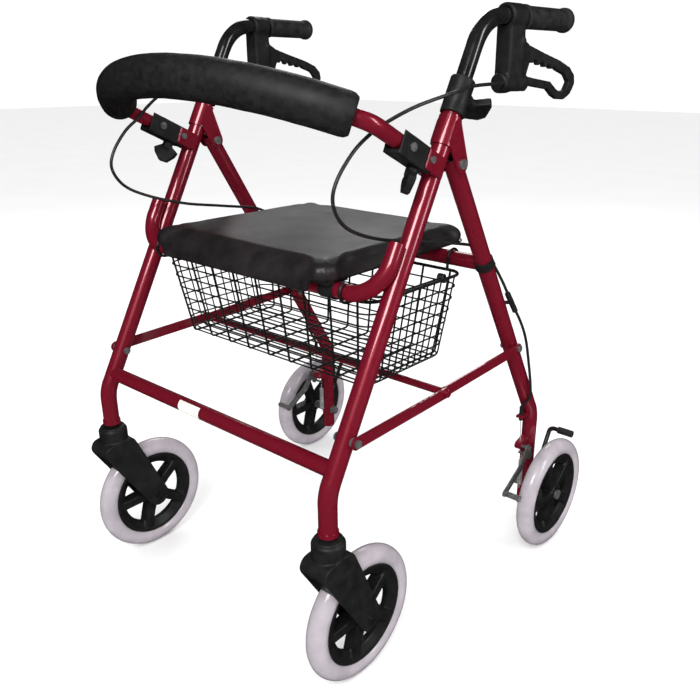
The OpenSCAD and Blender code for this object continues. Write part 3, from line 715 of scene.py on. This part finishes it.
def moulded_parts():
    """Rounds over the moulded pieces; each row is node, body, voxel in mm and smoothing passes."""
    for side in SIDES:
        for node, body, voxel, passes in (
                ("brake_housing", "handle", 1.3, 22), ("brake_lever", "lever", 1.0, 14),
                ("handle_knob", "handle_wing", 0.9, 8), ("backrest_knob", "backrest_wing", 0.9, 8),
                ("caster_fork", "caster", 1.2, 10)):
            moulded(f"{node}_{side}", f"{body}_{side}", PLASTIC, voxel, passes)
    moulded("handle_clamps", "front_frame", PLASTIC, 1.0, 5)
    moulded("backrest_sockets", "front_frame", PLASTIC, 1.0, 12)
    moulded("backrest_brackets", "front_frame", RED, 1.1, 14)
    moulded("kerb_tips", "rear_frame", RUBBER, 0.8, 6)
    moulded("kerb_levers", "rear_frame", GLOSS_BLACK, 0.8, 6)


SPRING_TURNS = 15
SPRING_RADIUS = 3.8 * MM
SPRING_WIRE = 0.8 * MM
COIL_SIDES = 12


def springs():
    """Coil spring with straight tails on each brake, and the inner wire that pulls against it."""
    low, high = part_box("brake_springs")
    y = (low.y + high.y) / 2
    coil_low, coil_high = low.z + 8 * MM, high.z - 8 * MM
    count = SPRING_TURNS * COIL_SIDES
    for side, sign in SIDES.items():
        x = joints["brake_press_" + side]["pos_m"][0]
        coil = []
        for k in range(count + 1):
            a = 2 * math.pi * k / COIL_SIDES
            z = lerp(coil_low, coil_high, k / count)
            coil.append(Vector((x + SPRING_RADIUS * math.cos(a), y + SPRING_RADIUS * math.sin(a), z)))
        tails = [Vector((x, y, low.z)), Vector((x, y, low.z + 7 * MM))]
        heads = [Vector((x, y, high.z - 7 * MM)), Vector((x, y, high.z + MM))]
        spring = wires("spring_" + side, [(tails + coil + heads, False)], SPRING_WIRE)
        finish_piece(spring, "rear_frame", ZINC, *(["brake_springs"] if sign > 0 else []))
        pull = wires("pull_wire_" + side, [([Vector((x, 198 * MM, 240 * MM)),
                                             Vector((x, 205 * MM, 174 * MM))], False)], SPRING_WIRE)
        finish_piece(pull, "rear_frame", ZINC)


GRIP_TURN = math.radians(4.5)       # the grips spread apart to the rear
GRIP_START = (250 * MM, 17 * MM, 883 * MM)
RIDGES = 23


def grip_profile():
    """Pairs of distance along the grip and radius, in mm: collar, fine ridges, fuller end."""
    collar = [(83, 11.6), (83, 15.4), (84.5, 16.6), (88, 16.6), (89.5, 15.2)]
    knurl = [(91 + 2 * k, 14.6 + 0.5 * (k % 2)) for k in range(2 * RIDGES)]
    end = [(183, 15.2), (184, 16.6), (186, 17.0), (190, 17.0), (192.2, 16.0), (193, 13.5), (193, 0.5)]
    return collar + knurl + end


def grips():
    """Rubber grips on the handle tubes."""
    profile = grip_profile()
    sides = 36
    for side, sign in SIDES.items():
        start = mirrored([GRIP_START], sign)[0]
        place = Matrix.Translation(start) @ Matrix.Rotation(-GRIP_TURN * sign, 4, "Z")
        vertices, faces = [], []
        for y, r in profile:
            for k in range(sides):
                a = 2 * math.pi * k / sides
                vertices.append(place @ (Vector((r * math.cos(a), y, r * math.sin(a))) * MM))
        for i in range(len(profile) - 1):
            for k in range(sides):
                n = (k + 1) % sides
                faces.append((i * sides + k, i * sides + n, (i + 1) * sides + n, (i + 1) * sides + k))
        faces.append(tuple(range((len(profile) - 1) * sides, len(profile) * sides)))
        piece = mesh_object("rubber_grip_" + side, vertices, faces)
        finish_piece(piece, "handle_" + side, RUBBER, "grip_" + side)


def lathe(name, centre, profile, sides=96):
    """Ring turned about the X axis; profile holds (across, radius) pairs and is closed."""
    vertices, faces = [], []
    count = len(profile)
    for k in range(sides):
        a = 2 * math.pi * k / sides
        for across, r in profile:
            vertices.append((centre[0] + across, centre[1] + r * math.cos(a), centre[2] + r * math.sin(a)))
    for k in range(sides):
        n = (k + 1) % sides
        for i in range(count):
            j = (i + 1) % count
            faces.append((k * count + i, k * count + j, n * count + j, n * count + i))
    return mesh_object(name, vertices, faces)


def block(low, high, narrow=1.0):
    """Box from low to high; its far end in Z is narrowed in X."""
    middle = (low[0] + high[0]) / 2
    vertices = []
    for z, scale in ((low[2], 1.0), (high[2], narrow)):
        for x, y in ((low[0], low[1]), (high[0], low[1]), (high[0], high[1]), (low[0], high[1])):
            vertices.append(Vector((middle + (x - middle) * scale, y, z)))
    faces = [(3, 2, 1, 0), (4, 5, 6, 7), (0, 1, 5, 4), (1, 2, 6, 5), (2, 3, 7, 6), (3, 0, 4, 7)]
    return vertices, faces


SPOKES = 5
BORE = 4 * MM
BOSS_RADIUS = 15 * MM


def hub(centre, rim, boss):
    """Dished plastic wheel centre: deep rim, flat spokes and a boss; rim and boss are its half sizes."""
    half = boss - 1.5 * MM
    ring = lathe("rim", centre, [
        (-half, rim), (half, rim), (half, rim - 5 * MM), (4 * MM, rim - 19 * MM),
        (-4 * MM, rim - 19 * MM), (-half, rim - 5 * MM)])
    core = lathe("core", centre, [
        (-boss, BORE), (boss, BORE), (boss, BOSS_RADIUS), (-boss, BOSS_RADIUS)], 40)
    pieces = [ring, core]
    vertices, faces = block((-11 * MM, -8 * MM, 11 * MM), (11 * MM, 8 * MM, rim - 9 * MM), 0.95)
    for k in range(SPOKES):
        turn = Matrix.Translation(centre) @ Matrix.Rotation(math.radians(360 / SPOKES * k + 20), 4, "X")
        pieces.append(mesh_object("spoke", [turn @ v for v in vertices], faces))
    return pieces


def hubs():
    for side in SIDES:
        for end in ("front", "rear"):
            node = f"{end}_hub_{side}"
            low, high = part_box(node)
            pieces = hub((low + high) / 2, (high.z - low.z) / 2, (high.x - low.x) / 2)
            piece = joined(node + "_spoked", pieces)
            round_over(piece, 1.3, 8)
            finish_piece(piece, f"{end}_wheel_{side}", HUB, node)


TYRE_SECTION = 15 * MM
SEAM_POINTS = (7, 8, 24, 25)    # where the two halves of the mould meet the tread


def tyres():
    """Solid tyres: a round tread with faint mould lines and a flat seat on the rim."""
    for side in SIDES:
        for end in ("front", "rear"):
            low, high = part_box(f"{end}_tyre_{side}")
            r_out = (high.z - low.z) / 2
            profile = []
            for k in range(33):
                a = math.radians(-132 + 264 * k / 32)
                r = TYRE_SECTION * (0.98 if k in SEAM_POINTS else 1)
                profile.append((r * math.sin(a), r_out - TYRE_SECTION + r * math.cos(a)))
            piece = lathe(f"solid_tyre_{end}_{side}", (low + high) / 2, profile)
            finish_piece(piece, f"{end}_wheel_{side}", TYRE, f"{end}_tyre_{side}")


def label():
    """Blank paper label wrapped round the front of the lower cross tube."""
    low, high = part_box("front_cross_tube")
    centre_y, centre_z = (low.y + high.y) / 2, (low.z + high.z) / 2
    radius = (high.z - low.z) / 2 + 0.15 * MM
    vertices, faces = [], []
    rows, columns = 12, 8
    for i in range(rows + 1):
        a = math.radians(lerp(120, 215, i / rows))
        for j in range(columns + 1):
            x = lerp(-60, -12, j / columns) * MM
            vertices.append((x, centre_y + radius * math.cos(a), centre_z + radius * math.sin(a)))
    for i in range(rows):
        for j in range(columns):
            k = i * (columns + 1) + j
            faces.append((k, k + 1, k + columns + 2, k + columns + 1))
    patch = mesh_object("blank_label", vertices, faces)
    finish_piece(patch, "front_frame", LABEL)


# ---------- stage ----------

def stage():
    """Plain pale floor, left out of reflections so that the glossy paint keeps its depth."""
    bpy.ops.mesh.primitive_plane_add(size=30)
    floor = bpy.context.object
    floor.name = "floor"
    floor.data.materials.append(floor_paper())
    floor.visible_glossy = False


def area_light(name, place, target, size, power):
    data = bpy.data.lights.new(name, "AREA")
    data.shape = "RECTANGLE"
    data.size, data.size_y = size
    data.energy = power
    lamp = new_object(name, data)
    lamp.location = place
    lamp.rotation_euler = (Vector(target) - Vector(place)).to_track_quat("-Z", "Y").to_euler()


def lights():
    """Even white surroundings with three soft lamps."""
    world = bpy.data.worlds.new("studio")
    world.use_nodes = True
    world.node_tree.nodes["Background"].inputs["Color"].default_value = (1, 1, 1, 1)
    world.node_tree.nodes["Background"].inputs["Strength"].default_value = 1.05
    bpy.context.scene.world = world
    world.cycles_visibility.glossy = False
    bpy.context.scene.view_settings.view_transform = "Standard"
    area_light("key", (1.2, -2.2, 2.4), (0, 0, 0.5), (1.2, 1.2), 60)
    area_light("side", (2.6, 0.6, 1.6), (0, 0, 0.5), (0.5, 2.0), 22)
    area_light("back", (-1.8, 2.0, 2.2), (0, 0, 0.5), (1.5, 1.0), 18)


EYE = (0.825, -0.881, 0.819)
LENS = 38.78
SHIFT = (-0.0393, 0.001)
AZIMUTH, ELEVATION, ROLL = 39.94, 20.63, 0.27


def camera():
    data = bpy.data.cameras.new("camera")
    data.sensor_width = 36
    data.lens = LENS
    data.shift_x, data.shift_y = SHIFT
    eye = new_object("camera", data)
    azimuth, elevation, roll = math.radians(AZIMUTH), math.radians(ELEVATION), math.radians(ROLL)
    turn = (Matrix.Rotation(azimuth, 4, "Z") @ Matrix.Rotation(math.pi / 2 - elevation, 4, "X")
            @ Matrix.Rotation(roll, 4, "Z"))
    eye.matrix_world = Matrix.Translation(EYE) @ turn
    bpy.context.scene.camera = eye


camera()
paint_cad_nodes()
seat_pad()
backrest_foam()
basket()
basket_handle()
brake_cables()
moulded_parts()
springs()
grips()
hubs()
tyres()
label()
stage()
lights()
